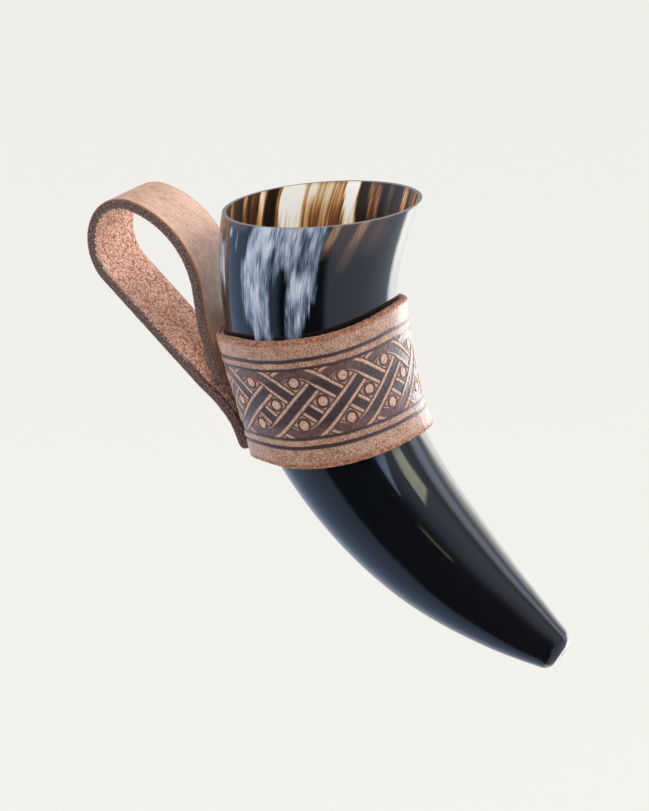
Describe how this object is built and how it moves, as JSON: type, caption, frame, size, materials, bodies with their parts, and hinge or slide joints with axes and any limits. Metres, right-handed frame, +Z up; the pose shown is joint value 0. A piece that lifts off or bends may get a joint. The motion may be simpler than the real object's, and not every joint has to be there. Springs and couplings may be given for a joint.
{
  "type": "drinking horn",
  "caption": "Curved drinking horn that sits in a tooled leather band and lifts out of it, with a riveted strap folded into a belt loop.",
  "frame": {"origin": "highest point of the belt loop's inner face, at the middle of the strap's width, where a belt carries the weight", "axes": "+Z up as it hangs from a belt, +X away from the loop towards the horn's tip, +Y along the belt"},
  "size_m": [0.1806, 0.0696, 0.1613],
  "materials": {
    "polished_horn": "polished natural horn, dark with pale streaks",
    "tooled_leather": "vegetable-tanned leather, tooled and stained",
    "strap_leather": "vegetable-tanned leather, smooth outside, suede inside",
    "rivet_brass": "antique brass"
  },
  "bodies": {
    "holder": {"holder_band": "tooled_leather", "belt_loop_strap": "strap_leather", "upper_rivet_stud": "rivet_brass", "upper_rivet_cap": "rivet_brass", "lower_rivet_stud": "rivet_brass", "lower_rivet_cap": "rivet_brass"},
    "horn": {"horn": "polished_horn"}
  },
  "joints": [
    {"name": "horn_lift_out", "type": "hinge", "parent": "holder", "child": "horn", "pos_m": [0.17468, 0, -0.02284], "axis": [0, 1, 0], "range_deg": [0, 80]}
  ]
}
